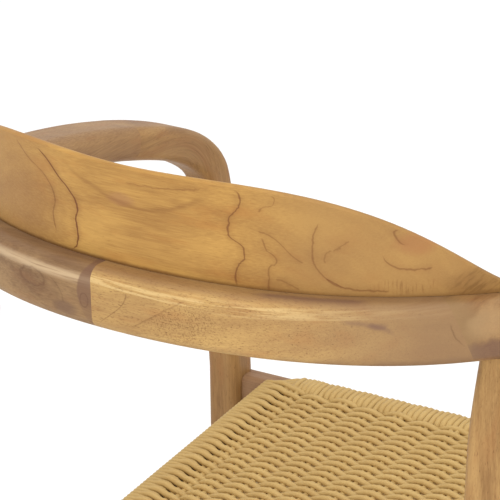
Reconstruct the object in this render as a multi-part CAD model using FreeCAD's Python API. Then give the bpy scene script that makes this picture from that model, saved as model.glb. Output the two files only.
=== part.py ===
import FreeCAD, Part
import math
import os

# Teak armchair. A flat back plate stands on a rail that runs round the back, forward as the two arms, and
# bends down into the front legs. The seat is a wooden frame wrapped and woven over with round cord.
# Sizes are millimetres. +Z is up, the sitter faces -Y and has +X to the left. The origin is on the floor,
# under the middle of the chair's outer box.

# Overall sizes
overall_width = 580
overall_depth = 504
seat_height = 440
rail_top_height = 742

# Bow: the rail round the back and the arms, as one line from the middle of the back to the arm's end
rail_depth = 34
rail_height = 43
rail_edge_radius = 9
arm_width = 47
arm_thickness = 27
arm_edge_radius = 11
widest_point_setback = 144
arm_end_setback = 26
arm_end_height = 643
arm_end_inset = 13
back_handle_share = 0.698
side_handle_share = 0.639
arm_handle_share = 0.397
arm_toe_angle = 5.3
arm_drop_power = 2.9
section_blend_start = 160
section_blend_length = 300
bow_sections = 33

# Where the bow is jointed, along its line from the middle of the back, and how far the corner joints lean
seam_station = 28
corner_joint_station = 209
corner_joint_slant = 25
arm_joint_setback = 100

# Bend from the arm into the front leg
knee_drop = 30
knee_handle_share = 0.66
knee_taper_share = 0.75
knee_advance = 6
knee_sections = 19

# Front legs: swept back above the seat, straight below it
front_leg_width = 29
front_leg_depth = 29
leg_edge_radius = 8
front_leg_seat_inset = 39
front_leg_sweep_power = 1.8
front_leg_sections = 6
front_foot_width = 26
front_foot_depth = 26
front_foot_inset = 28
front_foot_advance = 3

# Rear legs: straight, raked back, with a neck under the bow
rear_leg_station = 243
rear_leg_width = 32
rear_leg_depth = 34
rear_leg_top_width = 25
rear_leg_top_depth = 27
rear_leg_neck_length = 56
rear_leg_neck_power = 1.3
rear_leg_neck_sections = 6
rear_foot_width = 26
rear_foot_depth = 28
rear_foot_inset = 78
rear_foot_setback = 32
tenon_radius = 9
tenon_length = 15

# Back plate
plate_thickness = 13
plate_bevel = 8
plate_lip = 5
plate_rise = 68.1
plate_offset = 12
plate_half_length = 261
plate_outline_share = 1.016
plate_skew_share = 0.054
plate_lean = 3
plate_taper_power = 2.59
plate_round_power = 1.56
plate_sections = 33
plate_tip_height = 2.5
plate_crown = 1.5
plate_bury = 12

# Seat frame and cord
rail_bar_depth = 20
side_bar_depth = 22
front_bar_advance = 5
rail_bar_height = 40
bar_edge_radius = 5
wrap_recess = 1
cord_diameter = 5
cord_sheet_thickness = 14
seat_front_inset = 72
seat_rear_gap = 39
wrap_end_clearance = 1
rail_end_scribe = 4

# Dowels, tacks and glides
dowel_radius = 4
dowel_length = 34
dowel_clearance = 0.1
rail_dowel_spacing = 20
arm_dowel_spacing = 20
bar_dowel_spacing = 18
side_dowel_bite = 10
plate_dowel_spacing = 75
glue_gap = 0.2
tack_shank_radius = 1
tack_shank_length = 6
tack_head_radius = 3
tack_head_thickness = 1
tack_inset = 8
glide_radius = 11
glide_thickness = 4
glide_nail_radius = 1.2
glide_nail_length = 16

# How far a cutting shape runs past what it cuts
overrun = 60

# Derived places
back_face = overall_depth / 2
bow_back = back_face - rail_depth / 2
bow_side = overall_width / 2 - arm_width / 2
arm_end_x = bow_side - arm_end_inset
rail_middle_height = rail_top_height - rail_height / 2
wrapped_rail_depth = rail_bar_depth - 2 * wrap_recess + 2 * cord_diameter
wrapped_side_depth = side_bar_depth - 2 * wrap_recess + 2 * cord_diameter
front_bar_y = wrapped_rail_depth / 2 - overall_depth / 2
front_leg_y = front_bar_y + front_bar_advance
widest_y = front_leg_y + widest_point_setback
arm_end_y = front_leg_y + arm_end_setback
wrap_edge_radius = bar_edge_radius + cord_diameter
frame_top = seat_height - cord_diameter + wrap_recess
frame_bottom = frame_top - rail_bar_height
frame_middle = frame_top - rail_bar_height / 2
seat_front_half_width = overall_width / 2 - seat_front_inset


def smooth_step(share):
    share = min(max(share, 0), 1)
    return share * share * (3 - 2 * share)


def blend(start, end, share):
    return start + (end - start) * share


# The bow's line seen from above: one curve round the back corner, one along the arm
def plan_curves():
    toe = math.radians(arm_toe_angle)
    arm_handle = arm_handle_share * (widest_y - arm_end_y)
    corner = Part.BezierCurve()
    corner.setPoles([
        FreeCAD.Vector(0, bow_back, 0),
        FreeCAD.Vector(back_handle_share * bow_side, bow_back, 0),
        FreeCAD.Vector(bow_side, widest_y + side_handle_share * (bow_back - widest_y), 0),
        FreeCAD.Vector(bow_side, widest_y, 0),
    ])
    arm = Part.BezierCurve()
    arm.setPoles([
        FreeCAD.Vector(bow_side, widest_y, 0),
        FreeCAD.Vector(bow_side, widest_y - arm_handle, 0),
        FreeCAD.Vector(arm_end_x + arm_handle * math.sin(toe), arm_end_y + arm_handle * math.cos(toe), 0),
        FreeCAD.Vector(arm_end_x, arm_end_y, 0),
    ])
    return corner, arm


corner_curve, arm_curve = plan_curves()
corner_length = corner_curve.length()
bow_length = corner_length + arm_curve.length()
arm_joint_station = bow_length - arm_joint_setback


# Section frame at a distance along the bow: centre, direction, outward, upward, width and height.
# A distance below zero is on the sitter's right.
def bow_station(distance):
    along = abs(distance)
    side = -1 if distance < 0 else 1
    if along < corner_length:
        curve = corner_curve
        place = curve.parameterAtDistance(along, 0)
    else:
        curve = arm_curve
        place = curve.parameterAtDistance(along - corner_length, 0)
    point = curve.value(place)
    heading = curve.tangent(place)[0]
    drop = rail_middle_height - arm_end_height
    share = along / bow_length
    height = rail_middle_height - drop * share ** arm_drop_power
    fall = drop * arm_drop_power * share ** (arm_drop_power - 1) / bow_length
    centre = FreeCAD.Vector(side * point.x, point.y, height)
    ahead = FreeCAD.Vector(side * heading.x, heading.y, -fall).normalize()
    outward = FreeCAD.Vector(-side * heading.y, heading.x, 0).normalize()
    upward = FreeCAD.Vector(0, 0, 1) - ahead * ahead.z
    upward.normalize()
    change = smooth_step((along - section_blend_start) / section_blend_length)
    width = blend(rail_depth, arm_width, change)
    thickness = blend(rail_height, arm_thickness, change)
    radius = blend(rail_edge_radius, arm_edge_radius, change)
    return centre, ahead, outward, upward, width, thickness, radius


# Closed outline of a rounded rectangle about a centre, spanned by two directions at right angles
def rounded_section(centre, across, along, width, height, radius):
    half_width = width / 2
    half_height = height / 2
    bow_out = radius * (1 - math.sqrt(2) / 2)

    def at(u, v):
        return centre + across * u + along * v

    edges = []
    for su, sv, start_on_side in ((1, 1, True), (-1, 1, False), (-1, -1, True), (1, -1, False)):
        side_point = at(su * half_width, sv * (half_height - radius))
        top_point = at(su * (half_width - radius), sv * half_height)
        middle = at(su * (half_width - bow_out), sv * (half_height - bow_out))
        if start_on_side:
            edges.append((side_point, middle, top_point))
        else:
            edges.append((top_point, middle, side_point))
    wire_edges = []
    for index, (start, middle, end) in enumerate(edges):
        wire_edges.append(Part.Arc(start, middle, end).toShape())
        wire_edges.append(Part.LineSegment(end, edges[(index + 1) % len(edges)][0]).toShape())
    return Part.Wire(wire_edges)


def bow_section(distance):
    centre, ahead, outward, upward, width, thickness, radius = bow_station(distance)
    return rounded_section(centre, outward, upward, width, thickness, radius)


# The whole bow between the two arm joints, before it is cut into its lengths
def whole_bow():
    wires = []
    for index in range(bow_sections):
        distance = blend(-arm_joint_station, arm_joint_station, index / (bow_sections - 1))
        wires.append(bow_section(distance))
    return Part.makeLoft(wires, True, False)


# Direction across a joint of the bow. A leaning joint is nearer the middle of the back at its top.
def joint_direction(distance, slant):
    centre, ahead, outward, upward, width, thickness, radius = bow_station(distance)
    lean = math.radians(slant)
    return centre, ahead * math.cos(lean) + upward * math.sin(lean)


# Block that covers all of the bow past a joint, away from the middle of the back
def past_joint(distance, slant):
    centre, across = joint_direction(distance, slant)
    size = overall_width
    block = Part.makeBox(size, 2 * size, 2 * size, FreeCAD.Vector(0, -size, -size))
    block.Placement = FreeCAD.Placement(centre, FreeCAD.Rotation(FreeCAD.Vector(1, 0, 0), across))
    return block


# Two dowels across a joint, apart along the given direction. The bite is how far they reach past the joint.
def joint_dowels(centre, ahead, apart, spacing, bite, clearance):
    pins = []
    for side in (-1, 1):
        base = centre - ahead * (dowel_length - bite + clearance) + apart * (side * spacing / 2)
        pins.append(Part.makeCylinder(dowel_radius + clearance, dowel_length + 2 * clearance, base, ahead))
    return pins


def bow_joint_dowels(distance, clearance):
    centre, ahead, outward, upward, width, thickness, radius = bow_station(distance)
    if thickness > width:
        return joint_dowels(centre, ahead, upward, rail_dowel_spacing, dowel_length / 2, clearance)
    return joint_dowels(centre, ahead, outward, arm_dowel_spacing, dowel_length / 2, clearance)


def mirrored(shape):
    return shape.mirror(FreeCAD.Vector(0, 0, 0), FreeCAD.Vector(1, 0, 0))


# Line of the front leg: straight from the foot to the seat, then swept back to the knee under the arm's end
def front_leg_point(height):
    foot = FreeCAD.Vector(overall_width / 2 - front_foot_inset, front_leg_y - front_foot_advance, 0)
    seat = FreeCAD.Vector(overall_width / 2 - front_leg_seat_inset, front_leg_y, seat_height)
    knee = FreeCAD.Vector(arm_end_x, arm_end_y - knee_advance, arm_end_height - knee_drop)
    if height <= seat_height:
        return foot + (seat - foot) * (height / seat_height)
    share = (height - seat_height) / (knee.z - seat_height)
    swept = share ** front_leg_sweep_power
    return FreeCAD.Vector(blend(seat.x, knee.x, share), blend(seat.y, knee.y, swept), height)


def front_leg_direction(height):
    step = leg_edge_radius / 2
    return (front_leg_point(height - step) - front_leg_point(height)).normalize()


def front_leg_frame(ahead, outward):
    forward = ahead.cross(outward).normalize()
    return forward.cross(ahead).normalize(), forward


def front_leg_section(height, width, depth):
    across, forward = front_leg_frame(front_leg_direction(height), FreeCAD.Vector(1, 0, 0))
    return rounded_section(front_leg_point(height), across, forward, width, depth, leg_edge_radius)


# Front leg with the bend above it, from the arm's joint down to the foot
def front_leg():
    knee_height = arm_end_height - knee_drop
    down = front_leg_direction(knee_height)
    start, ahead, outward, upward, width, thickness, radius = bow_station(arm_joint_station)
    end = front_leg_point(knee_height)
    bend = Part.BezierCurve()
    bend.setPoles([
        start,
        start + ahead * (knee_handle_share * arm_joint_setback),
        end - down * (knee_handle_share * (knee_drop + arm_thickness / 2)),
        end,
    ])
    sideways = FreeCAD.Vector(1, 0, 0)
    wires = []
    for index in range(knee_sections):
        share = index / (knee_sections - 1)
        direction = bend.tangent(share)[0]
        across, forward = front_leg_frame(direction, outward * (1 - share) + sideways * share)
        change = smooth_step(share / knee_taper_share)
        wires.append(rounded_section(
            bend.value(share), across, forward,
            blend(width, front_leg_width, change),
            blend(thickness, front_leg_depth, change),
            blend(radius, leg_edge_radius, change),
        ))
    top = Part.makeLoft(wires, True, False)
    swept = [wires[-1]]
    for index in range(1, front_leg_sections):
        height = blend(knee_height, seat_height, index / (front_leg_sections - 1))
        swept.append(front_leg_section(height, front_leg_width, front_leg_depth))
    shank = Part.makeLoft(swept, True, False)
    lower = Part.makeLoft([
        front_leg_section(seat_height, front_leg_width, front_leg_depth),
        front_leg_section(-front_foot_depth, front_foot_width, front_foot_depth),
    ], True, True)
    leg = top.fuse([shank, lower]).removeSplitter()
    floor_cut = Part.makeBox(
        overall_width, overall_depth, overrun + glide_thickness,
        FreeCAD.Vector(0, front_bar_y - overall_depth / 2, -overrun),
    )
    return leg.cut(floor_cut)


# Line of the rear leg: straight from the bow to the foot
def rear_leg_point(height):
    top = bow_station(rear_leg_station)[0]
    foot = FreeCAD.Vector(overall_width / 2 - rear_foot_inset, back_face - rear_foot_setback, 0)
    return foot + (top - foot) * (height / top.z)


def rear_leg_section(height):
    neck_top = bow_station(rear_leg_station)[0].z - rail_height / 2
    neck = min(max(1 - (neck_top - height) / rear_leg_neck_length, 0), 1) ** rear_leg_neck_power
    taper = max(0, 1 - height / seat_height)
    width = blend(blend(rear_leg_width, rear_leg_top_width, neck), rear_foot_width, taper)
    depth = blend(blend(rear_leg_depth, rear_leg_top_depth, neck), rear_foot_depth, taper)
    across = FreeCAD.Vector(1, 0, 0)
    back = FreeCAD.Vector(0, 1, 0)
    return rounded_section(rear_leg_point(height), across, back, width, depth, leg_edge_radius)


def rear_leg_tenon(clearance):
    centre = bow_station(rear_leg_station)[0]
    bottom = centre.z - rail_height / 2 - tenon_length
    length = 2 * tenon_length + clearance
    base = FreeCAD.Vector(centre.x, centre.y, bottom)
    return Part.makeCylinder(tenon_radius + clearance, length, base)


# Rear leg, cut to the underside of the bow, with its round tenon
def rear_leg(bow):
    top = bow_station(rear_leg_station)[0].z
    neck_top = top - rail_height / 2
    neck_start = neck_top - rear_leg_neck_length
    lower = Part.makeLoft([rear_leg_section(height) for height in (glide_thickness, seat_height)], True, True)
    middle = Part.makeLoft([rear_leg_section(height) for height in (seat_height, neck_start)], True, True)
    neck_wires = []
    for index in range(rear_leg_neck_sections):
        share = index / (rear_leg_neck_sections - 1)
        neck_wires.append(rear_leg_section(blend(neck_start, neck_top, share)))
    neck = Part.makeLoft(neck_wires, True, False)
    stub = Part.makeLoft([neck_wires[-1], rear_leg_section(top)], True, True)
    leg = lower.fuse([middle, neck, stub]).removeSplitter()
    for piece in bow:
        leg = leg.cut(piece.translated(FreeCAD.Vector(0, 0, -glue_gap)))
    leg = max(leg.Solids, key=lambda solid: solid.Volume)
    return leg.fuse(rear_leg_tenon(0)).removeSplitter()


# Back plate: curved with the bow and leaning back. Its top runs almost level along the middle, a little higher
# at the sitter's left, and falls to thin tips. The top edge is bevelled on the sitter's side.
def plate_section(distance, thickness):
    centre, ahead, outward, upward, width, rail_thick, radius = bow_station(distance)
    lean = math.radians(plate_lean)
    rise = FreeCAD.Vector(0, 0, 1) * math.cos(lean) + outward * math.sin(lean)
    through = outward * math.cos(lean) - FreeCAD.Vector(0, 0, 1) * math.sin(lean)
    foot = centre + outward * (plate_lip + plate_thickness / 2 - width / 2) + upward * (rail_thick / 2)
    share = (distance - plate_offset) / (plate_half_length * plate_outline_share)
    taper = (1 - abs(share) ** plate_taper_power) ** plate_round_power
    full = taper * (1 + share * plate_skew_share + share * share)
    height = blend(plate_tip_height, plate_rise, full)
    low = foot - rise * plate_bury
    high = foot + rise * (height / math.cos(lean))
    inner_low = low - through * (thickness / 2)
    outer_low = low + through * (thickness / 2)
    outer_high = high + through * (thickness / 2)
    inner_high = outer_high - through * (thickness - plate_bevel)
    shoulder = high - through * (thickness / 2) - rise * plate_bevel
    top_middle = (inner_high + outer_high) / 2
    return Part.Wire([
        Part.LineSegment(inner_low, outer_low).toShape(),
        Part.LineSegment(outer_low, outer_high).toShape(),
        Part.Arc(outer_high, top_middle + rise * plate_crown, inner_high).toShape(),
        Part.LineSegment(inner_high, shoulder).toShape(),
        Part.LineSegment(shoulder, inner_low).toShape(),
    ])


def plate_blank():
    wires = []
    for index in range(plate_sections):
        reach = blend(-plate_half_length, plate_half_length, index / (plate_sections - 1))
        distance = plate_offset + reach
        wires.append(plate_section(distance, plate_thickness))
    return Part.makeLoft(wires, True, False)


def plate_dowels(clearance):
    lean = math.radians(plate_lean)
    pins = []
    for place in (-2, -1, 0, 1, 2):
        distance = place * plate_dowel_spacing
        centre, ahead, outward, upward, width, rail_thick, radius = bow_station(distance)
        rise = FreeCAD.Vector(0, 0, 1) * math.cos(lean) + outward * math.sin(lean)
        foot = centre + outward * (plate_lip + plate_thickness / 2 - width / 2) + upward * (rail_thick / 2)
        base = foot - rise * (dowel_length / 2 + clearance)
        pins.append(Part.makeCylinder(dowel_radius + clearance, dowel_length + 2 * clearance, base, rise))
    return pins


# Straight bar along X with rounded long edges
def cross_bar(half_length, middle_y, depth, height, radius):
    across = FreeCAD.Vector(0, 1, 0)
    up = FreeCAD.Vector(0, 0, 1)
    ends = []
    for side in (-1, 1):
        centre = FreeCAD.Vector(side * half_length, middle_y, frame_middle)
        ends.append(rounded_section(centre, across, up, depth, height, radius))
    return Part.makeLoft(ends, True, True)


# Half width of the woven seat at a place along its depth
def seat_half_width(y):
    share = (y - front_bar_y) / (rear_bar_y - front_bar_y)
    return blend(seat_front_half_width, seat_rear_half_width, share)


# Bar of a side rail or of the cord round it, cut square to the chair at both ends
def side_bar(front_y, rear_y, depth, height, radius):
    across = FreeCAD.Vector(1, 0, 0)
    up = FreeCAD.Vector(0, 0, 1)
    ends = []
    for y in (front_y, rear_y):
        centre = FreeCAD.Vector(seat_half_width(y) - wrapped_side_depth / 2, y, frame_middle)
        ends.append(rounded_section(centre, across, up, depth, height, radius))
    return Part.makeLoft(ends, True, True)


def core_depth():
    return rail_bar_depth - 2 * wrap_recess


def side_core_depth():
    return side_bar_depth - 2 * wrap_recess


def core_height():
    return rail_bar_height - 2 * wrap_recess


def wrapped_height():
    return core_height() + 2 * cord_diameter


# Cross rail: full section at its bare ends, thinner where the cord is wound on it. It ends against the
# inner faces of the legs and is scribed a little round their rounded corners.
def cross_rail(joint_half_span, middle_y, wrap_half_length, legs):
    half_length = joint_half_span + rail_end_scribe
    bar = cross_bar(half_length, middle_y, rail_bar_depth, rail_bar_height, bar_edge_radius)
    block = cross_bar(wrap_half_length, middle_y, rail_bar_depth, rail_bar_height, bar_edge_radius)
    core = cross_bar(wrap_half_length, middle_y, core_depth(), core_height(), bar_edge_radius)
    bar = bar.cut(block.cut(core))
    for leg, side in legs:
        bar = bar.cut(leg.translated(FreeCAD.Vector(-side * glue_gap, 0, 0)))
    return max(bar.Solids, key=lambda solid: solid.Volume)


def cross_wrap(wrap_half_length, middle_y):
    outer = cross_bar(wrap_half_length, middle_y, wrapped_rail_depth, wrapped_height(), wrap_edge_radius)
    core = cross_bar(wrap_half_length, middle_y, core_depth(), core_height(), bar_edge_radius)
    return without(outer, [core])


# Two dowels in each end of a cross rail, one above the other
def cross_rail_dowels(joint_half_span, middle_y, clearance):
    pins = []
    for side in (-1, 1):
        centre = FreeCAD.Vector(side * joint_half_span, middle_y, frame_middle)
        across = FreeCAD.Vector(1, 0, 0)
        up = FreeCAD.Vector(0, 0, 1)
        pins += joint_dowels(centre, across, up, bar_dowel_spacing, dowel_length / 2, clearance)
    return pins


# Two dowels in each end of both side rails. Their bite in the cross rails is short, to miss those rails' own.
def side_rail_dowels(front_y, rear_y, clearance):
    up = FreeCAD.Vector(0, 0, 1)
    pins = []
    for side in (-1, 1):
        for y, outward in ((front_y, FreeCAD.Vector(0, -1, 0)), (rear_y, FreeCAD.Vector(0, 1, 0))):
            middle_x = seat_half_width(y) - wrapped_side_depth / 2
            centre = FreeCAD.Vector(side * middle_x, y, frame_middle)
            pins += joint_dowels(centre, outward, up, bar_dowel_spacing, side_dowel_bite, clearance)
    return pins


# Woven sheet between the four wrapped rails
def woven_sheet(front_y, rear_y):
    front_x = seat_half_width(front_y) - wrapped_side_depth
    rear_x = seat_half_width(rear_y) - wrapped_side_depth
    bottom = seat_height - cord_sheet_thickness
    corners = [
        FreeCAD.Vector(-front_x, front_y, bottom),
        FreeCAD.Vector(front_x, front_y, bottom),
        FreeCAD.Vector(rear_x, rear_y, bottom),
        FreeCAD.Vector(-rear_x, rear_y, bottom),
    ]
    outline = Part.makePolygon(corners + corners[:1])
    return Part.Face(outline).extrude(FreeCAD.Vector(0, 0, cord_sheet_thickness))


# Tack that holds the end of the cord, driven up into the underside of a rail's bare end
def cord_tack(x, y):
    up = FreeCAD.Vector(0, 0, 1)
    head_base = FreeCAD.Vector(x, y, frame_bottom - tack_head_thickness)
    head = Part.makeCylinder(tack_head_radius, tack_head_thickness, head_base, up)
    shank = Part.makeCylinder(tack_shank_radius, tack_head_thickness + tack_shank_length, head_base, up)
    return head.fuse(shank).removeSplitter()


def tack_hole(x, y, clearance):
    base = FreeCAD.Vector(x, y, frame_bottom - overrun)
    return Part.makeCylinder(tack_shank_radius + clearance, overrun + tack_shank_length + clearance, base)


# Round glide under a foot, and the nail that holds it
def foot_glide(centre):
    pad = Part.makeCylinder(glide_radius, glide_thickness, FreeCAD.Vector(centre.x, centre.y, 0))
    return pad.cut(glide_nail(centre, dowel_clearance))


def glide_nail(centre, clearance):
    base = FreeCAD.Vector(centre.x, centre.y, glide_thickness / 2 - clearance)
    return Part.makeCylinder(glide_nail_radius + clearance, glide_nail_length + 2 * clearance, base)


def without(shape, tools):
    for tool in tools:
        shape = shape.cut(tool)
    return max(shape.Solids, key=lambda solid: solid.Volume)


def save(name, shape):
    if not shape.isValid():
        raise ValueError(name + " is not a valid shape")
    print(name, len(shape.Solids), round(shape.Volume), shape.ShapeType)
    shape.exportStep("parts/" + name + ".step")


os.makedirs("parts", exist_ok=True)

# The rear rail stands on the line of the rear legs
rear_bar_y = rear_leg_point(frame_middle).y
seat_rear_half_width = rear_leg_point(frame_middle).x - seat_rear_gap

# Lengths of the bow, cut at their joints
bow = whole_bow()
past_seam = past_joint(seam_station, 0)
past_corner_left = past_joint(corner_joint_station, corner_joint_slant)
past_corner_right = past_joint(-corner_joint_station, corner_joint_slant)
bow_blanks = {
    "back_rail_left": bow.common(past_seam).cut(past_corner_left),
    "back_rail_right": bow.cut(past_seam).cut(past_corner_right),
    "arm_left": bow.common(past_corner_left),
    "arm_right": bow.common(past_corner_right),
}

# Legs
left_front_leg = front_leg()
left_rear_leg = rear_leg([bow_blanks["back_rail_left"], bow_blanks["arm_left"]])

# Cross rails, their cord and the side rails
front_rail_rear_face = front_bar_y + rail_bar_depth / 2
rear_rail_front_face = rear_bar_y - rail_bar_depth / 2
side_core_front = seat_half_width(front_rail_rear_face) - wrapped_side_depth / 2 - side_core_depth() / 2
side_core_rear = seat_half_width(rear_rail_front_face) - wrapped_side_depth / 2 - side_core_depth() / 2
front_wrap_half_length = side_core_front - wrap_end_clearance
rear_wrap_half_length = side_core_rear - wrap_end_clearance
front_joint_span = front_leg_point(frame_middle).x - front_leg_width / 2
rear_joint_span = rear_leg_point(frame_middle).x - rear_leg_width / 2
front_legs = [(left_front_leg, 1), (mirrored(left_front_leg), -1)]
rear_legs = [(left_rear_leg, 1), (mirrored(left_rear_leg), -1)]
front_rail = cross_rail(front_joint_span, front_bar_y, front_wrap_half_length, front_legs)
rear_rail = cross_rail(rear_joint_span, rear_bar_y, rear_wrap_half_length, rear_legs)
left_side_rail = side_bar(
    front_rail_rear_face, rear_rail_front_face, side_core_depth(), core_height(), bar_edge_radius)
front_wrap_rear_face = front_bar_y + wrapped_rail_depth / 2
rear_wrap_front_face = rear_bar_y - wrapped_rail_depth / 2
left_sleeve = side_bar(
    front_wrap_rear_face, rear_wrap_front_face, wrapped_side_depth, wrapped_height(), wrap_edge_radius)
left_wrap = without(left_sleeve, [left_side_rail])

# Dowels, and the holes they need
hole = dowel_clearance
holes = {
    "seam": bow_joint_dowels(seam_station, hole),
    "corner_left": bow_joint_dowels(corner_joint_station, hole),
    "corner_right": bow_joint_dowels(-corner_joint_station, hole),
    "arm_left": bow_joint_dowels(arm_joint_station, hole),
    "arm_right": bow_joint_dowels(-arm_joint_station, hole),
    "plate": plate_dowels(hole),
    "front_rail": cross_rail_dowels(front_joint_span, front_bar_y, hole),
    "rear_rail": cross_rail_dowels(rear_joint_span, rear_bar_y, hole),
    "side_rails": side_rail_dowels(front_rail_rear_face, rear_rail_front_face, hole),
    "tenon_left": [rear_leg_tenon(hole)],
    "tenon_right": [mirrored(rear_leg_tenon(hole))],
}
front_foot_centre = front_leg_point(glide_thickness)
rear_foot_centre = rear_leg_point(glide_thickness)
foot_centres = {
    "front_left": front_foot_centre,
    "front_right": FreeCAD.Vector(-front_foot_centre.x, front_foot_centre.y, 0),
    "rear_left": rear_foot_centre,
    "rear_right": FreeCAD.Vector(-rear_foot_centre.x, rear_foot_centre.y, 0),
}
nail_holes = [glide_nail(centre, hole) for centre in foot_centres.values()]
tack_places = []
for half_length, y in ((front_wrap_half_length, front_bar_y), (rear_wrap_half_length, rear_bar_y)):
    for side in (-1, 1):
        tack_places.append((side * (half_length + tack_inset), y))
tack_holes = [tack_hole(x, y, hole) for x, y in tack_places]

# Bow, with the holes of the joints that each length carries
save("back_rail_left", without(bow_blanks["back_rail_left"], holes["seam"] + holes["corner_left"] + holes["plate"]))
save("back_rail_right", without(bow_blanks["back_rail_right"], holes["seam"] + holes["corner_right"] + holes["plate"]))
for side in ("left", "right"):
    tools = holes["corner_" + side] + holes["arm_" + side] + holes["tenon_" + side]
    save("arm_" + side, without(bow_blanks["arm_" + side], tools))

# Legs
for side, front, rear in (("left", front_legs[0][0], rear_legs[0][0]), ("right", front_legs[1][0], rear_legs[1][0])):
    save("front_leg_" + side, without(front, holes["arm_" + side] + holes["front_rail"] + nail_holes))
    save("rear_leg_" + side, without(rear, holes["rear_rail"] + nail_holes))

# Back plate, resting on the rail
plate = plate_blank()
for blank in bow_blanks.values():
    plate = plate.cut(blank.translated(FreeCAD.Vector(0, 0, glue_gap)))
plate = max(plate.Solids, key=lambda solid: solid.BoundBox.ZMax)
save("back_plate", without(plate, holes["plate"]))

# Seat frame
save("seat_rail_front", without(front_rail, holes["front_rail"] + holes["side_rails"] + tack_holes))
save("seat_rail_rear", without(rear_rail, holes["rear_rail"] + holes["side_rails"] + tack_holes))
save("seat_rail_left", without(left_side_rail, holes["side_rails"]))
save("seat_rail_right", without(mirrored(left_side_rail), holes["side_rails"]))

# Cord: wound round each rail, and the woven sheet between
save("cord_wrap_front", cross_wrap(front_wrap_half_length, front_bar_y))
save("cord_wrap_rear", cross_wrap(rear_wrap_half_length, rear_bar_y))
save("cord_wrap_left", left_wrap)
save("cord_wrap_right", mirrored(left_wrap))
save("woven_seat_sheet", woven_sheet(front_wrap_rear_face, rear_wrap_front_face))

# Fasteners and glides
save("bow_seam_dowels", Part.makeCompound(bow_joint_dowels(seam_station, 0)))
corner_pins = bow_joint_dowels(corner_joint_station, 0) + bow_joint_dowels(-corner_joint_station, 0)
save("bow_corner_dowels", Part.makeCompound(corner_pins))
arm_pins = bow_joint_dowels(arm_joint_station, 0) + bow_joint_dowels(-arm_joint_station, 0)
save("arm_dowels", Part.makeCompound(arm_pins))
save("plate_dowels", Part.makeCompound(plate_dowels(0)))
save("front_rail_dowels", Part.makeCompound(cross_rail_dowels(front_joint_span, front_bar_y, 0)))
save("rear_rail_dowels", Part.makeCompound(cross_rail_dowels(rear_joint_span, rear_bar_y, 0)))
side_pins = side_rail_dowels(front_rail_rear_face, rear_rail_front_face, 0)
save("side_rail_dowels", Part.makeCompound(side_pins))
save("cord_tacks", Part.makeCompound([cord_tack(x, y) for x, y in tack_places]))
for place, centre in foot_centres.items():
    save("glide_" + place, foot_glide(centre))
save("glide_nails", Part.makeCompound([glide_nail(centre, 0) for centre in foot_centres.values()]))
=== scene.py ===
import bpy
import math
import random
from mathutils import Matrix, Vector


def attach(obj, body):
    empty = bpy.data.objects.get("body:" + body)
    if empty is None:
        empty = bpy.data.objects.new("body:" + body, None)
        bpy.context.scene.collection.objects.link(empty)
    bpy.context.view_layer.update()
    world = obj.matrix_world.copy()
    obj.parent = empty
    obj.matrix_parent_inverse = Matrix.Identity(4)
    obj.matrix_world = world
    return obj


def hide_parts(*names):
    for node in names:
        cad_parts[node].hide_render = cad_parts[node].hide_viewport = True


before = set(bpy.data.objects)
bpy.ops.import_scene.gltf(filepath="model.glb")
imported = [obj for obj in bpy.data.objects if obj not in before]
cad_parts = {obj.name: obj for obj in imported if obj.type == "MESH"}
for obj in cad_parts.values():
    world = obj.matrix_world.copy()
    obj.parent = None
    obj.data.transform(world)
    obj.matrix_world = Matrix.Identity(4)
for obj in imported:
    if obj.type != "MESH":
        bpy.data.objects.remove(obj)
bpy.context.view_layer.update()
bpy.ops.object.select_all(action="DESELECT")

# The photograph's view: a long lens behind the chair, on the sitter's right,
# looking down on the back rail and the seat.
camera_place = (-1.1072, 1.7684, 1.5032)
camera_heading = math.pi + 0.5885
camera_dip = 0.3779
camera_roll = -0.02563
camera_data = bpy.data.cameras.new("camera")
camera_data.lens = 229.7
camera_data.sensor_width = 36
camera_data.clip_end = 20
camera = bpy.data.objects.new("camera", camera_data)
bpy.context.scene.collection.objects.link(camera)
camera.matrix_world = (
    Matrix.Translation(camera_place)
    @ Matrix.Rotation(camera_heading, 4, "Z")
    @ Matrix.Rotation(math.pi / 2 - camera_dip, 4, "X")
    @ Matrix.Rotation(camera_roll, 4, "Z")
)
bpy.context.scene.camera = camera

# The studio: a pale floor, an even white surround, a broad soft light overhead and a second one
# behind the chair on the camera's side, which lights the faces of the rail and the plate.
world = bpy.data.worlds.new("studio")
world.use_nodes = True
surround = world.node_tree.nodes["Background"]
surround.inputs["Color"].default_value = (1, 1, 1, 1)
surround.inputs["Strength"].default_value = 1.08
bpy.context.scene.world = world
bpy.context.scene.view_settings.view_transform = "Standard"

lit_point = Vector((0, 0, 0.6))
soft_lights = (
    ("overhead", 2.4, 26, (-0.3, 0.5, 2.9)),
    ("behind", 1.8, 30, (-1.7, 2.3, 1.3)),
)
for light_name, spread, power, place in soft_lights:
    light_data = bpy.data.lights.new(light_name, "AREA")
    light_data.size = spread
    light_data.energy = power
    light = bpy.data.objects.new(light_name, light_data)
    light.location = place
    light.rotation_euler = (Vector(place) - lit_point).to_track_quat("Z", "Y").to_euler()
    bpy.context.scene.collection.objects.link(light)

bpy.ops.mesh.primitive_plane_add(size=12, location=(0, 0, 0))
floor = bpy.context.object
floor.name = "floor"
floor_paint = bpy.data.materials.new("floor_paint")
floor_paint.use_nodes = True
floor_shader = floor_paint.node_tree.nodes["Principled BSDF"]
floor_shader.inputs["Base Color"].default_value = (0.9, 0.9, 0.9, 1)
floor_shader.inputs["Roughness"].default_value = 0.9
floor.data.materials.append(floor_paint)


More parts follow.
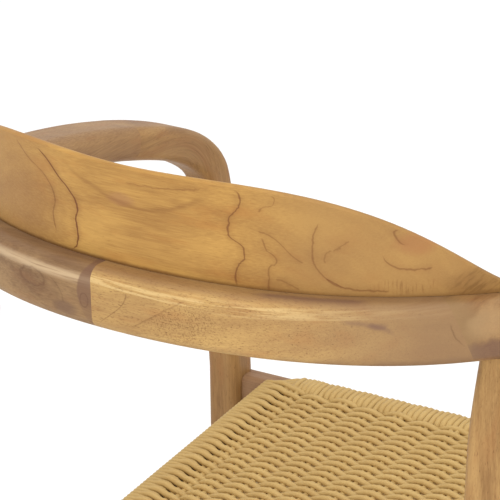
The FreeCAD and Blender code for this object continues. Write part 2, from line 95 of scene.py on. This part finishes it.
# The bow's two back lengths, sawn from solid teak, planed to an oval-edged section, sanded and
# oiled. They are doweled end to end at the seam, and each has its own colour and figure.
# A Value is a shader socket that is reckoned with as a number is, a Finish is one material
class Value:
    def __init__(self, finish, socket):
        self.finish = finish
        self.socket = socket

    def worked(self, operation, *others):
        return self.finish.node("ShaderNodeMath", {"operation": operation}, self, *others)

    def __add__(self, other):
        return self.worked("ADD", other)

    def __radd__(self, other):
        return self.worked("ADD", other)

    def __sub__(self, other):
        return self.worked("SUBTRACT", other)

    def __rsub__(self, other):
        return self.finish.node("ShaderNodeMath", {"operation": "SUBTRACT"}, other, self)

    def __mul__(self, other):
        return self.worked("MULTIPLY", other)

    def __rmul__(self, other):
        return self.worked("MULTIPLY", other)

    def __truediv__(self, other):
        return self.worked("DIVIDE", other)

    def __pow__(self, other):
        return self.worked("POWER", other)

    def __abs__(self):
        return self.worked("ABSOLUTE")

    def most(self, other):
        return self.worked("MAXIMUM", other)


class Finish:
    def __init__(self, name):
        self.material = bpy.data.materials.new(name)
        self.material.use_nodes = True
        self.tree = self.material.node_tree
        self.shader = self.tree.nodes["Principled BSDF"]

    def join(self, socket, value):
        if isinstance(value, Value):
            self.tree.links.new(value.socket, socket)
        elif value is not None:
            socket.default_value = value

    def node(self, kind, settings, *values, into=None, out=0):
        made = self.tree.nodes.new(kind)
        for key, setting in settings.items():
            if key == "stops":
                curve = made.mapping.curves[0]
                for place, height in setting[1:-1]:
                    curve.points.new(place, height)
                for point, stop in zip(curve.points, setting):
                    point.location = stop
                made.mapping.update()
            else:
                setattr(made, key, setting)
        for place, value in zip(into or range(len(values)), values):
            self.join(made.inputs[place], value)
        return Value(self, made.outputs[out])

    def surface(self):
        return self.node("ShaderNodeTexCoord", {}, out=3)

    def split(self, place):
        first = self.node("ShaderNodeSeparateXYZ", {}, place)
        return [Value(self, axis) for axis in first.socket.node.outputs]

    def vector(self, x, y, z):
        return self.node("ShaderNodeCombineXYZ", {}, x, y, z)

    # From 0 at `low` to 1 at `high`, and the other way round
    def rise(self, value, low, high):
        smooth = {"interpolation_type": "SMOOTHSTEP"}
        return self.node("ShaderNodeMapRange", smooth, value, low, high, 0, 1)

    def fall(self, value, low, high):
        return 1 - self.rise(value, low, high)

    def clamped(self, value):
        return self.node("ShaderNodeClamp", {}, value, 0, 1)

    def blend(self, share, start, end, way="MIX"):
        start, end = [(*tone, 1) if isinstance(tone, tuple) else tone for tone in (start, end)]
        settings = {"data_type": "RGBA", "blend_type": way}
        return self.node("ShaderNodeMix", settings, share, start, end, into=(0, 6, 7), out=2)

    def darker(self, tone, share):
        return self.blend(self.clamped(share), tone, self.blend(1.0, tone, (0.42, 0.33, 0.3), "MULTIPLY"))

    def noise(self, place, detail, roughness=0.55):
        return self.node("ShaderNodeTexNoise", {}, place, 1.0, detail, roughness, into=(0, 2, 3, 4))

    # Noise whose lumps have the given size in metres; another `seed` gives other lumps
    def cloud(self, place, size, detail=2, seed=0):
        start = (seed, 3.1 * seed, 1.7 * seed)
        scale = tuple(1 / length for length in size)
        return self.noise(self.node("ShaderNodeMapping", {}, place, start, (0, 0, 0), scale), detail)


# A growth line or a crack: `stops` are its places along and across, in metres, in order
def line_mark(finish, along, across, stops, width, fade=0.12):
    start, end = stops[0][0], stops[-1][0]
    sides = [side for _, side in stops]
    low, spread = min(sides), max(max(sides) - min(sides), 1e-3)
    travel = (along - start) / (end - start)
    shares = [((step - start) / (end - start), (side - low) / spread) for step, side in stops]
    curve = finish.node("ShaderNodeFloatCurve", {"stops": shares}, 1.0, travel)
    gap = abs(across - (curve * spread + low))
    return finish.fall(gap, 0, width) * finish.rise(travel, 0, fade) * finish.fall(travel, 1 - fade, 1)


# A soft patch round a point, `reach` metres to each side of it
def patch_mark(finish, along, across, middle, reach):
    far = ((along - middle[0]) / reach[0]) ** 2 + ((across - middle[1]) / reach[1]) ** 2
    return finish.fall(far, 0, 1)


# A thin closed outline round a point
def ring_mark(finish, along, across, middle, reach):
    far = ((along - middle[0]) / reach[0]) ** 2 + ((across - middle[1]) / reach[1]) ** 2
    return finish.fall(abs(far - 1), 0, 0.4)


# Noise from -0.5 to 0.5 times `strength`, in lumps of one size, to unsettle the edges of marks
def unrest(finish, place, lump, strength, seed):
    return (finish.cloud(place, (lump, lump, lump), 2, seed) - 0.5) * strength


grain_turns = {"X": (0, 0, 0), "Y": (0, 0, -math.pi / 2), "Z": (0, math.pi / 2, 0)}
knee_height, knee_front = 0.58, -0.12


# Teak: long fibres, short dark pores, uneven growth bands and a slow drift of tone.
# The grain "bend" follows a front leg up and back round its knee.
def teak(name, grain, pale, deep, pith, band, pores, bands, seed, marks=None):
    finish = Finish(name)
    place = finish.surface()
    if grain == "bend":
        x, y, z = finish.split(place)
        round_bend = ((z - knee_height).most(0) ** 3 + (y * -1 + knee_front).most(0) ** 3) ** (1 / 3)
        turned = finish.vector(z - y, x, round_bend)
    else:
        turned = finish.node("ShaderNodeMapping", {}, place, (0, 0, 0), grain_turns[grain], (1, 1, 1))

    # Growth rings round the pith, which lies beside the piece and drifts along it
    run, side, up = finish.split(turned)
    drift = finish.cloud(turned, (0.09, 0.03, 0.03), 2, seed)
    off_side = side - pith[0] + (drift - 0.5) * 0.02
    off_up = up - pith[1] + run * 0.05
    radius = (off_side * off_side + off_up * off_up) ** 0.5
    rings = finish.noise(finish.vector(run / 0.25, radius / band, 0.3 * seed), 3, 0.6)

    # Fibres and pores run along the grain; blotches and ruddy patches are broader
    fibre = finish.cloud(turned, (0.03, 0.0009, 0.0009), 3, seed)
    pore = finish.rise(finish.cloud(turned, (0.005, 0.00055, 0.00055), 1, seed + 2), 0.62, 0.74)
    blotch = finish.cloud(turned, (0.07, 0.028, 0.028), 3, seed + 5)
    ruddy = finish.cloud(turned, (0.05, 0.012, 0.012), 3, seed + 9)

    tone = (rings - 0.5) * bands * 3 + (fibre - 0.5) * 1.2 + (blotch - 0.5) * 2 + 0.5
    colour = finish.blend(finish.clamped(tone), pale, deep)
    red = tuple(level * share for level, share in zip(pale, (0.78, 0.58, 0.52)))
    colour = finish.blend(finish.rise(ruddy, 0.48, 0.72) * 0.38, colour, red)
    colour = finish.darker(colour, pore * pores)
    if marks:
        colour = marks(finish, place, colour)
    relief = finish.node("ShaderNodeBump", {}, 0.25, 0.0006, None, fibre * 0.4 - pore * 0.6)
    finish.join(finish.shader.inputs["Base Color"], colour)
    finish.join(finish.shader.inputs["Roughness"], (fibre - 0.5) * 0.25 + 0.5)
    finish.join(finish.shader.inputs["Normal"], relief)
    finish.shader.inputs["Specular IOR Level"].default_value = 0.18
    return finish.material


def dress(material, *names):
    for name in names:
        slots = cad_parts[name].data.materials
        slots.clear()
        slots.append(material)


# The bow's upper face lies at `bow_top` in the middle of the back and falls with the cube of x.
# The crest is the height that a point of the bow would have there
bow_top = 0.742
bow_fall = 0.61


def bow_crest(x, z):
    return z + abs(x) ** 3 * bow_fall


# Streaks that break up the painted highlight along the bow's upper arris
def arris_highlight_streaks(finish, x, level):
    return finish.cloud(finish.vector(x, 0.0, level), (0.035, 0.01, 0.0013), 3, 5)


def rail_left_marks(finish, place, colour):
    x, y, z = finish.split(place)
    crest = bow_crest(x, z)
    shake = unrest(finish, place, 0.006, 0.004, 3)
    # A painted highlight along the upper arris, broken into streaks, and a darker top face
    highlight_streaks = finish.rise(arris_highlight_streaks(finish, x, crest), 0.3, 0.6) * 0.6 + 0.4
    painted_arris_highlight = finish.fall(abs(crest - 0.7328), 0.0005, 0.0058) * highlight_streaks
    colour = finish.blend(painted_arris_highlight * 0.75, colour, (0.56, 0.4, 0.235))
    colour = finish.blend(finish.rise(crest, 0.738, 0.7412) * 0.35, colour, (0.17, 0.09, 0.045))

    # Beside the seam: a dark red patch with a bowed edge and a lens-shaped knot in it
    bowed_edge = 0.0405 - ((z - 0.724) / 0.017) ** 2 * 0.0065
    low_fade = finish.rise(z, 0.71, 0.721) * 0.6 + 0.4
    red = finish.fall(x + shake * 0.4 - bowed_edge, -0.0005, 0.0012) * low_fade
    colour = finish.blend(red * 0.7, colour, (0.15, 0.075, 0.045))
    lens = ring_mark(finish, x, z, (0.0352, 0.7185), (0.0034, 0.0048))

    mottle = patch_mark(finish, x + shake, z + shake, (0.052, 0.7095), (0.013, 0.006))
    colour = finish.blend(mottle * 0.6, colour, (0.13, 0.07, 0.045))
    swirl = ring_mark(finish, x + shake, z + shake, (0.082, 0.7235), (0.0115, 0.006))
    hook_stops = [(0.712, 0.0535), (0.719, 0.0555), (0.7255, 0.061), (0.7295, 0.07)]
    hook = line_mark(finish, z, x + shake, hook_stops, 0.0012)
    return finish.darker(colour, (swirl + hook + lens) * 0.35)


def rail_right_marks(finish, place, colour):
    x, y, z = finish.split(place)
    wobble = unrest(finish, place, 0.02, 0.008, 3)
    shake = unrest(finish, place, 0.004, 0.002, 8)

    # A painted highlight along the upper arris, in bright streaks
    ridge = z - 0.733 - (x + 0.06) ** 2 * 0.25
    highlight_streaks = finish.rise(arris_highlight_streaks(finish, x, ridge), 0.42, 0.62)
    painted_arris_highlight = finish.fall(abs(ridge + wobble * 0.4), 0.001, 0.0065)
    colour = finish.blend(painted_arris_highlight * highlight_streaks * 0.62, colour, (0.64, 0.45, 0.2))

    # Beside the seam: an arc, and a V whose inside is thick with pores
    arc_stops = [(0.7062, 0.0226), (0.715, 0.0115), (0.7237, 0.0031), (0.7312, 0.0004)]
    arc = line_mark(finish, z, x + shake, arc_stops, 0.001, 0.05)
    vee_stops = [(-0.046, 0.7354), (-0.042, 0.733), (-0.0173, 0.7173), (-0.0015, 0.7074)]
    vee = line_mark(finish, x, z + shake, vee_stops, 0.0012)
    vee_slope = 0.7074 - (x + 0.0015) * 0.63
    inside = patch_mark(finish, x, z, (-0.04, 0.717), (0.038, 0.022)) * finish.rise(vee_slope - z, 0, 0.0015)
    grains = finish.rise(finish.cloud(place, (0.0011, 0.0011, 0.0011), 1, 21), 0.5, 0.66)
    specks = finish.rise(finish.cloud(place, (0.0024, 0.0009, 0.0009), 1, 23), 0.56, 0.7)
    colour = finish.darker(colour, arc * 0.5 + vee * 0.4 + grains * inside * 0.5 + specks * 0.3)

    # Browner on top and towards the arm, and painted shade on the underside
    top = finish.rise(bow_crest(x, z), 0.738, 0.7412)
    colour = finish.blend(top * 0.45, colour, (0.2, 0.1, 0.045))
    tail = finish.rise(x + wobble * 2, -0.08, -0.2) * 0.85
    painted_underside_shade = finish.rise(z + wobble, 0.705, 0.698) * 0.35
    colour = finish.blend(finish.clamped(tail + painted_underside_shade), colour, (0.22, 0.125, 0.06))

    # Dark heartwood: a streak with a darker core on the face. A painted shadow on the top face along the
    # plate's foot
    streak_stops = [(-0.172, 0.718), (-0.1655, 0.7255), (-0.159, 0.7275), (-0.15, 0.729), (-0.14, 0.7305)]
    streak = line_mark(finish, x, z + wobble * 0.4, streak_stops, 0.003, 0.2) * 0.45
    core = patch_mark(finish, x + shake, z + shake, (-0.1615, 0.7272), (0.007, 0.0032)) * 0.4
    # Painted shadow on the rail's top face along the plate's foot
    shelf_shadow_stops = [(-0.158, 0.2045), (-0.118, 0.2235), (-0.08, 0.235)]
    painted_shelf_shadow = line_mark(finish, x, y + shake, shelf_shadow_stops, 0.006, 0.2) * top * 0.75
    colour = finish.blend(finish.clamped(streak + core + painted_shelf_shadow), colour, (0.16, 0.085, 0.055))

    crack_stops = [(0.7086, -0.2062), (0.7128, -0.2017), (0.72, -0.1985), (0.7277, -0.1971)]
    crack = line_mark(finish, z, x + shake, crack_stops, 0.0007, 0.3)
    return finish.darker(colour, crack * 0.45)


dress(teak("teak_rail_left", grain="X", pale=(0.3, 0.18, 0.08), deep=(0.165, 0.088, 0.04),
           pith=(0.02, 0.62), band=0.007, pores=0.35, bands=0.5, seed=4, marks=rail_left_marks),
      "back_rail_left")
dress(teak("teak_rail_right", grain="X", pale=(0.46, 0.285, 0.1), deep=(0.32, 0.18, 0.066),
           pith=(0.2, 0.66), band=0.006, pores=0.8, bands=0.5, seed=1, marks=rail_right_marks),
      "back_rail_right")


# The arms: two more lengths of the bow, from the joint beside each rear leg forward,
# spreading flat for the forearm. The sitter's left one is the paler, blotchier board.
def arm_right_marks(finish, place, colour):
    x, y, z = finish.split(place)
    wobble = unrest(finish, place, 0.015, 0.012, 3)
    light = patch_mark(finish, x + wobble, z + wobble, (-0.216, 0.723), (0.014, 0.015))
    dark = patch_mark(finish, x + wobble, z + wobble, (-0.216, 0.705), (0.02, 0.009))
    joint_end = finish.rise(y, 0.163, 0.176)
    colour = finish.blend(joint_end * 0.8, colour, (0.225, 0.135, 0.06))
    colour = finish.blend(light * 0.55, colour, (0.37, 0.235, 0.11))
    return finish.blend(dark * 0.6, colour, (0.13, 0.07, 0.05))


dress(teak("teak_arm_left", grain="Y", pale=(0.34, 0.195, 0.078), deep=(0.19, 0.095, 0.04),
           pith=(0.24, 0.62), band=0.016, pores=0.2, bands=0.25, seed=7), "arm_left")
dress(teak("teak_arm_right", grain="Y", pale=(0.31, 0.17, 0.065), deep=(0.18, 0.09, 0.036),
           pith=(-0.2, 0.6), band=0.008, pores=0.4, bands=0.5, seed=8, marks=arm_right_marks), "arm_right")

# The legs: the front pair carries the bend that meets the arm, the rear pair runs straight up
# into the bow. Straight-grained teak, shaped on the spindle and sanded, browner than the bow.
dress(teak("teak_front_legs", grain="bend", pale=(0.34, 0.19, 0.068), deep=(0.2, 0.1, 0.036),
           pith=(0.22, -0.03), band=0.006, pores=0.5, bands=0.5, seed=11),
      "front_leg_left", "front_leg_right")
dress(teak("teak_rear_legs", grain="Z", pale=(0.4, 0.235, 0.086), deep=(0.24, 0.125, 0.044),
           pith=(0.1, 0.4), band=0.004, pores=0.5, bands=0.7, seed=12),
      "rear_leg_left", "rear_leg_right")

# The back plate: one broad curved teak board, flat-sawn, so that its growth lines run over its
# face as dark wavy contours. It stands on the bow and is held by dowels.
# Each contour has its points in order, its width and its depth: upright ones as (height, across),
# level ones as (across, height)
strong_upright = [
    ([(0.742, 0.058), (0.7526, 0.0506), (0.7637, 0.0512), (0.7755, 0.0491), (0.7852, 0.0552),
      (0.7923, 0.0634), (0.8029, 0.0743), (0.8095, 0.0855)], 0.0013, 0.9),
    ([(0.742, -0.0712), (0.7492, -0.0688), (0.7631, -0.0756), (0.768, -0.0758), (0.7783, -0.0658),
      (0.7859, -0.0663), (0.8026, -0.0752), (0.8095, -0.0655)], 0.0011, 0.65),
]
fine_upright = [
    ([(0.752, 0.0695), (0.7655, 0.0721), (0.7755, 0.0691), (0.7892, 0.076), (0.7984, 0.0916),
      (0.8095, 0.1045)], 0.001, 0.5),
    ([(0.74, -0.0912), (0.7581, -0.0914), (0.7627, -0.096), (0.7696, -0.0901), (0.778, -0.088)],
     0.001, 0.45),
    ([(0.7465, -0.137), (0.7493, -0.131), (0.7552, -0.1232), (0.7638, -0.1189), (0.7754, -0.1183),
      (0.7905, -0.123)], 0.001, 0.45),
    ([(0.775, -0.1685), (0.7798, -0.1646), (0.7843, -0.1636), (0.787, -0.165)], 0.0009, 0.5),
    ([(0.795, -0.0862), (0.7972, -0.0877), (0.804, -0.0972), (0.807, -0.092)], 0.0008, 0.4),
    ([(0.7635, -0.125), (0.768, -0.1262), (0.7722, -0.1292)], 0.0009, 0.35),
]
fine_level = [
    ([(-0.16, 0.744), (-0.1526, 0.7447), (-0.1365, 0.7467), (-0.125, 0.753)], 0.0011, 0.5),
    ([(-0.182, 0.7585), (-0.1708, 0.7582), (-0.16, 0.7629), (-0.1563, 0.7753)], 0.0011, 0.5),
    ([(-0.113, 0.7627), (-0.1101, 0.7639), (-0.0937, 0.7789), (-0.085, 0.782)], 0.0009, 0.4),
    ([(-0.13, 0.7718), (-0.135, 0.7742), (-0.1399, 0.7785)], 0.0009, 0.35),
    ([(-0.05, 0.8065), (-0.0364, 0.8033), (-0.0045, 0.8005), (0.008, 0.801)], 0.0009, 0.35),
    ([(-0.1098, 0.744), (-0.1002, 0.7487), (-0.095, 0.75)], 0.0009, 0.35),
]
broad_bow = [(-0.06, 0.801), (-0.0529, 0.7997), (-0.0356, 0.7922), (-0.0184, 0.7859), (-0.0031, 0.7844),
             (0.0115, 0.7864), (0.0289, 0.7911), (0.0477, 0.7981), (0.06, 0.805)]


def plate_marks(finish, place, colour):
    x, y, z = finish.split(place)
    shake = unrest(finish, place, 0.006, 0.0035, 9)
    sway = unrest(finish, place, 0.02, 0.004, 6)

    # Growth lines, each with a soft dark halo
    across, height = x + shake, z + shake
    contours = [(height, across, *line) for line in strong_upright + fine_upright]
    contours += [(across, height, *line) for line in fine_level]
    lines = line_mark(finish, x, z + sway, broad_bow, 0.003, 0.15) * 0.3
    for along, beside, stops, width, depth in contours:
        lines = line_mark(finish, along, beside, stops, width, 0.06) * depth + lines
        lines = line_mark(finish, along, beside + sway, stops, width * 5, 0.1) * (depth * 0.26) + lines
    strokes = finish.rise(finish.cloud(place, (0.0018, 0.0018, 0.012), 2, 4), 0.48, 0.66)
    lines = strokes * patch_mark(finish, x, z, (-0.168, 0.747), (0.022, 0.007)) * 0.35 + lines

    # Browner towards both ends, with a bruise, a rusty patch and a dark veined tip
    colour = finish.blend(finish.rise(x + sway * 2, 0.045, 0.11) * 0.45, colour, (0.27, 0.14, 0.055))
    colour = finish.blend(finish.rise(x + sway * 3, -0.06, -0.13) * 0.65, colour, (0.29, 0.16, 0.055))
    bruise = patch_mark(finish, x + sway, z + sway, (0.012, 0.7885), (0.014, 0.006))
    colour = finish.blend(bruise * 0.4, colour, (0.3, 0.14, 0.07))
    rust = patch_mark(finish, x + sway, z, (-0.174, 0.776), (0.014, 0.01))
    colour = finish.blend(rust * 0.5, colour, (0.3, 0.12, 0.045))
    veins = finish.rise(finish.noise(finish.vector((x - z) / 0.012, (x + z) / 0.0028, 0.0), 2), 0.45, 0.65)
    tip = patch_mark(finish, x + sway * 2, z + sway, (-0.2, 0.745), (0.016, 0.014))
    colour = finish.blend(tip * (veins * 0.4 + 0.4), colour, (0.17, 0.08, 0.022))
    colour = finish.blend(finish.clamped(lines), colour, (0.14, 0.045, 0.013))

    # A painted shadow line where the plate stands on the bow, stronger to the sitter's left
    above_bow = bow_crest(x, z) - bow_top
    foot = finish.fall(above_bow + shake * 0.3, 0.0006, 0.0034) * (finish.rise(x, -0.18, 0.03) * 0.45 + 0.4)
    return finish.blend(foot, colour, (0.13, 0.055, 0.016))


dress(teak("teak_plate", grain="X", pale=(0.47, 0.265, 0.07), deep=(0.3, 0.15, 0.04), pith=(0.5, 0.56),
           band=0.011, pores=0.2, bands=0.6, seed=2, marks=plate_marks), "back_plate")

# The seat frame: four plain teak rails, doweled into the legs and into one another. Only the
# ends of the two cross rails stay bare beside the legs, and they have darkened there.
dress(teak("teak_frame", grain="X", pale=(0.3, 0.17, 0.085), deep=(0.19, 0.1, 0.05),
           pith=(0.02, 0.38), band=0.006, pores=0.4, bands=0.5, seed=14),
      "seat_rail_front", "seat_rail_rear")
dress(teak("teak_side_rails", grain="Y", pale=(0.25, 0.15, 0.085), deep=(0.14, 0.08, 0.05),
           pith=(0.15, 0.38), band=0.006, pores=0.4, bands=0.5, seed=15),
      "seat_rail_left", "seat_rail_right")

# The dowels: plain beech pins, glued, hidden in the joints.
dress(teak("beech_dowels", grain="X", pale=(0.6, 0.45, 0.28), deep=(0.5, 0.36, 0.2), pith=(0.1, 0.1),
           band=0.003, pores=0.2, bands=0.4, seed=17),
      "bow_seam_dowels", "bow_corner_dowels", "arm_dowels", "plate_dowels", "front_rail_dowels",
      "rear_rail_dowels", "side_rail_dowels")

# The glides: dark moulded pads, nailed under the feet.
glide = Finish("glide_plastic")
grit = glide.cloud(glide.surface(), (0.0008, 0.0008, 0.0008), 2, 1)
glide.join(glide.shader.inputs["Base Color"], glide.blend(grit, (0.03, 0.028, 0.026), (0.05, 0.046, 0.042)))
glide.join(glide.shader.inputs["Roughness"], grit * 0.3 + 0.45)
dress(glide.material, "glide_front_left", "glide_front_right", "glide_rear_left", "glide_rear_right")

# The steel: the glides' nails, and the tacks that pin the ends of the cord under the cross rails.
steel = Finish("tack_steel")
haze = steel.cloud(steel.surface(), (0.002, 0.002, 0.0005), 3, 2)
steel.join(steel.shader.inputs["Base Color"], steel.blend(haze, (0.5, 0.49, 0.47), (0.62, 0.61, 0.6)))
steel.join(steel.shader.inputs["Roughness"], haze * 0.3 + 0.25)
steel.shader.inputs["Metallic"].default_value = 1.0
dress(steel.material, "cord_tacks", "glide_nails")

# The woven seat: smooth round cord of about 5 mm. Pairs of warp cords run from the front rail to the
# rear rail, single weft cords cross them in plain weave, and each cord is carried right round the rail
# at its two ends, with plain turns laid between the warps so that no wood shows.
cord = Finish("seat_cord")
fleck = cord.cloud(cord.surface(), (0.0011, 0.0011, 0.0011), 3, 1)
stretch = cord.cloud(cord.surface(), (0.03, 0.012, 0.02), 2, 2)
worn = cord.clamped((stretch - 0.5) * 1.3 + (fleck - 0.5) * 0.5 + 0.5)
cord.join(cord.shader.inputs["Base Color"], cord.blend(worn, (0.515, 0.35, 0.13), (0.43, 0.275, 0.094)))
cord.join(cord.shader.inputs["Roughness"], fleck * 0.2 + 0.5)
cord.join(cord.shader.inputs["Normal"], cord.node("ShaderNodeBump", {}, 0.2, 0.0003, None, fleck))
cord.shader.inputs["Specular IOR Level"].default_value = 0.3

front_bar, rear_bar = -0.238, 0.1726
weave_front, weave_rear = -0.224, 0.1586
seat_level = 0.433
cord_radius = 0.0025
weft_radius, warp_radius, turn_radius, corner_radius = 0.00265, 0.0026, 0.003, 0.0026
weft_count = 76
weft_pitch = 0.0051
weft_rise = 0.0034
weft_lift, weft_drop = 0.002, 0.0004
last_warp = 7
warp_pitch = 0.0258
warp_offset = 0.27
warp_margin = 0.033
pair_half = cord_radius * 1.07
wrap_top, wrap_bottom, wrap_corner = 0.4375, 0.3945, 0.0073
wrap_start = 0.426
side_inset = 0.015
cross_reach, side_reach = 0.0114, 0.0124
chance = random.Random(5)


# Half the seat's width over the side rails' cord, which narrows to the rear
def outer_face(y):
    return 0.218 - (y - front_bar) * 0.1096


def warp_x(number, y):
    x = (number + warp_offset) * warp_pitch * outer_face(y) / 0.216
    return min(x, outer_face(y) - warp_margin) if number == last_warp else x


def round_corner(middle_u, middle_z, start, end, count=4):
    angles = [math.radians(start + (end - start) * step / count) for step in range(count + 1)]
    return [(middle_u + wrap_corner * math.cos(angle), middle_z + wrap_corner * math.sin(angle))
            for angle in angles]


# The way round a rail, seen along it: from its inner face down, under, up the outer face and over
def turn_round(reach):
    inner, outer = -reach + wrap_corner, reach - wrap_corner
    low, high = wrap_bottom + wrap_corner, wrap_top - wrap_corner
    under = round_corner(inner, low, 180, 270) + round_corner(outer, low, 270, 360)
    return [(-reach, wrap_start)] + under + round_corner(outer, high, 0, 90)


# Every second weft lifts as it leaves the side rail, and the ones between stay low
def weft_path(number):
    y = weave_front + weft_pitch * (number - 0.5)
    sway = chance.uniform(-0.00025, 0.00025)
    middle = outer_face(y) - side_inset
    inner_top = wrap_top + (-weft_drop if number % 2 else weft_lift)
    stops = [(middle + side_reach * 0.35, wrap_top), (middle - side_reach * 0.5, inner_top)]
    for warp in range(last_warp, -last_warp - 1, -1):
        over = 1 if (number + warp) % 2 else -1
        stops.append((warp_x(warp, y), seat_level + over * weft_rise + chance.uniform(-0.0002, 0.0002)))
    stops += [(-middle + side_reach * 0.5, inner_top), (-middle - side_reach * 0.35, wrap_top)]
    field = []
    for (x0, z0), (x1, z1) in zip(stops, stops[1:]):
        for step in range(5):
            share = step / 5
            field.append((x0 + (x1 - x0) * share, z0 + (z1 - z0) * (1 - math.cos(math.pi * share)) / 2))
    field.append(stops[-1])
    left = [(middle + u, z) for u, z in turn_round(side_reach)]
    right = [(-x, z) for x, z in reversed(left)]
    return [(x, y + sway * math.sin(40 * x + number), z) for x, z in left + field + right]


# How far a warp has dipped from the cross rail's top to the weave's level, along its way back
warp_dips = [(-0.235, 0), (-0.231, 0.2), (-0.226, 0.6), (-0.22, 0.95), (-0.2, 1), (-0.1, 1), (0, 1),
             (0.1, 1), (0.14, 1), (0.152, 0.95), (0.157, 0.6), (0.162, 0.2), (0.167, 0)]


def warp_path(number, side):
    front_x = warp_x(number, weave_front) + pair_half * side
    rear_x = warp_x(number, weave_rear) + pair_half * side
    front = [(front_x, front_bar - u, z) for u, z in turn_round(cross_reach)]
    rear = [(rear_x, rear_bar + u, z) for u, z in reversed(turn_round(cross_reach))]
    field = []
    for y, dip in warp_dips:
        share = min(max((y - weave_front) / (weave_rear - weave_front), 0), 1)
        field.append((front_x + (rear_x - front_x) * share, y, wrap_top - dip * (wrap_top - seat_level)))
    return front + field + rear


# One closed turn round a cross rail; `facing` is -1 for the front rail and 1 for the rear one
def plain_turn(x, bar, facing):
    high = round_corner(-cross_reach + wrap_corner, wrap_top - wrap_corner, 90, 180)
    return [(x, bar + facing * u, z) for u, z in turn_round(cross_reach)[1:] + high]


# Plain turns that fill the gaps between the warps, and those past the outermost warps up to `limit`
def rail_turns(y, bar, facing, limit, between):
    turns = []
    for number in range(-last_warp, last_warp):
        low, high = warp_x(number, y) + pair_half, warp_x(number + 1, y) - pair_half
        turns += [low + (high - low) * step / (between + 1) for step in range(1, between + 1)]
    for end, way in ((warp_x(last_warp, y) + pair_half, 1), (warp_x(-last_warp, y) - pair_half, -1)):
        count = int((limit - abs(end)) / (2 * cord_radius))
        turns += [end + way * 2.07 * cord_radius * (step + 1) for step in range(count)]
    return [plain_turn(x, bar, facing) for x in turns]


# Cord over a corner, slanting from the side rail's outer face to the cross rail's. The offsets are
# taken from the two ends of the slant: (x_edge, y_edge) on the side rail, (x_end, y_end) on the cross rail
def corner_path(step, side, bar, facing):
    inward = 0.0046 * step
    y_edge = bar - facing * (0.0155 + inward * 1.35)
    x_edge = outer_face(y_edge)
    x_end = (0.186 if facing < 0 else 0.149) - inward * 1.4
    y_end = bar + facing * cross_reach
    foot, top = 0.405, 0.4355
    return [(side * x, y, z) for x, y, z in (
        (x_edge - 0.0026, y_edge, foot),
        (x_edge - 0.0026, y_edge, 0.428),
        (x_edge - 0.005, y_edge + facing * 0.002, 0.434),
        (x_edge - 0.0095, y_edge + facing * 0.005, top),
        (x_end + 0.006, y_end - facing * 0.006, top),
        (x_end + 0.001, y_end - facing * 0.0015, 0.4345),
        (x_end, y_end, 0.427),
        (x_end, y_end, foot))]


def lay_cords(name, paths, radius, closed=False):
    run = bpy.data.curves.new(name, "CURVE")
    run.dimensions = "3D"
    run.bevel_depth = radius
    run.bevel_resolution = 2
    run.use_fill_caps = True
    for path in paths:
        spline = run.splines.new("POLY")
        spline.points.add(len(path) - 1)
        for point, place in zip(spline.points, path):
            point.co = (*place, 1)
        spline.use_cyclic_u = closed
    laid = bpy.data.objects.new(name, run)
    bpy.context.scene.collection.objects.link(laid)
    bpy.ops.object.select_all(action="DESELECT")
    laid.select_set(True)
    bpy.context.view_layer.objects.active = laid
    bpy.ops.object.convert(target="MESH")
    laid = bpy.context.object
    bpy.ops.object.shade_smooth()
    laid.data.materials.clear()
    laid.data.materials.append(cord.material)
    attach(laid, "root")
    return laid


wefts = lay_cords("seat_wefts", [weft_path(number) for number in range(weft_count)], weft_radius)
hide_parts("woven_seat_sheet", "cord_wrap_left", "cord_wrap_right")

lay_cords("seat_warps", [warp_path(number, side) for number in range(-last_warp, last_warp + 1)
                         for side in (-1, 1)], warp_radius)

front_turns = rail_turns(weave_front, front_bar, -1, limit=0.1835, between=3)
rear_turns = rail_turns(weave_rear, rear_bar, 1, limit=0.146, between=2)
turns = lay_cords("rail_turns", front_turns + rear_turns, turn_radius, closed=True)
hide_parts("cord_wrap_front", "cord_wrap_rear")

lay_cords("corner_cords", [corner_path(step, side, bar, facing) for side in (-1, 1)
                           for bar, facing in ((front_bar, -1), (rear_bar, 1))
                           for step in range(4)], corner_radius)
